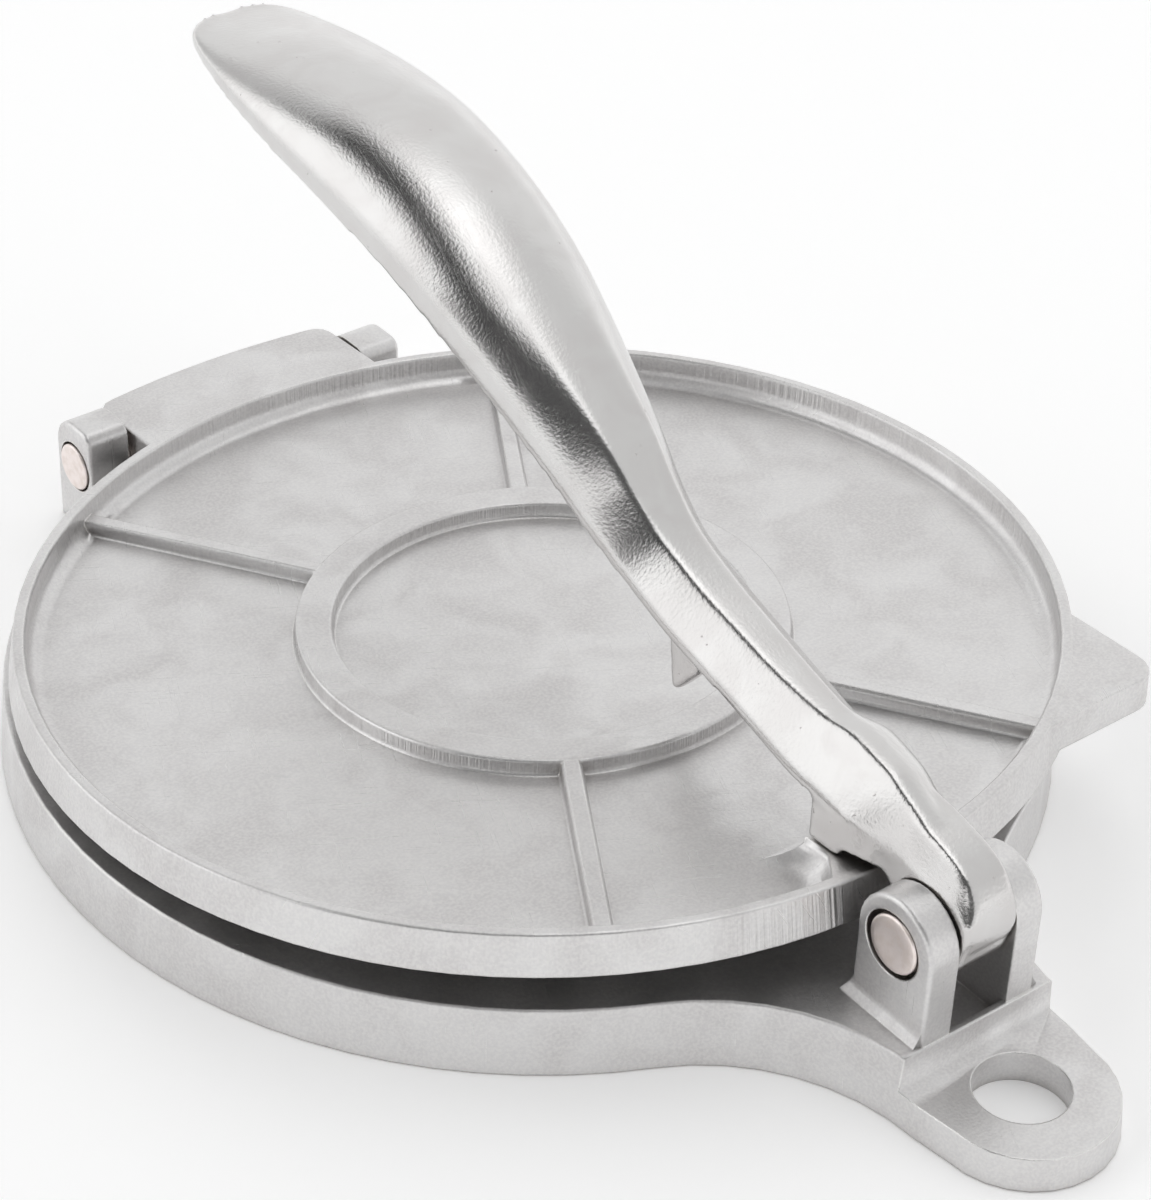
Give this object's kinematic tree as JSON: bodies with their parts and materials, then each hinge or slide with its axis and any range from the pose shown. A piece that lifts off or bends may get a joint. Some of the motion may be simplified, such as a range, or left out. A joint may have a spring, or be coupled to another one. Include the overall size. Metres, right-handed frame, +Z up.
{
  "type": "tortilla press",
  "caption": "Cast metal dough press: round hinged upper plate over a round base, hand lever with domed grip, hanging tongue.",
  "frame": {"origin": "on the table plane, under the middle of the object's bounding box at rest", "axes": "+Z up; +Y from the hanging tongue to the rear hinge; +X to the object's right for someone at the tongue looking at the rear hinge"},
  "size_m": [0.2042, 0.2714, 0.113],
  "materials": {
    "base_casting": "satin, blasted casting",
    "top_plate_casting": "satin, blasted casting",
    "lever_casting": "polished casting, slightly pitted",
    "lever_pin": "bare steel pin",
    "hinge_pin": "bare steel pin"
  },
  "bodies": {
    "base": {"base_casting": "base_casting", "hinge_pin": "hinge_pin"},
    "lever_pivot": {"lever_pin": "lever_pin"},
    "lever": {"lever_casting": "lever_casting"},
    "top_plate": {"top_plate_casting": "top_plate_casting"}
  },
  "joints": [
    {"name": "lever_press", "type": "hinge", "parent": "base", "child": "lever_pivot", "pos_m": [0, -0.09659, 0.0309], "axis": [1, 0, 0], "range_deg": [-11.3, 0]},
    {"name": "lever_raise", "type": "hinge", "parent": "lever_pivot", "child": "lever", "pos_m": [0, -0.09659, 0.0309], "axis": [1, 0, 0], "range_deg": [0, 150]},
    {"name": "plate_hinge", "type": "hinge", "parent": "base", "child": "top_plate", "pos_m": [0, 0.12531, 0.0152], "axis": [-1, 0, 0], "range_deg": [-3.03, 110]}
  ],
  "couplings": [
    {"joint": "plate_hinge", "follows": "lever_press", "ratio": 0.26813}
  ]
}
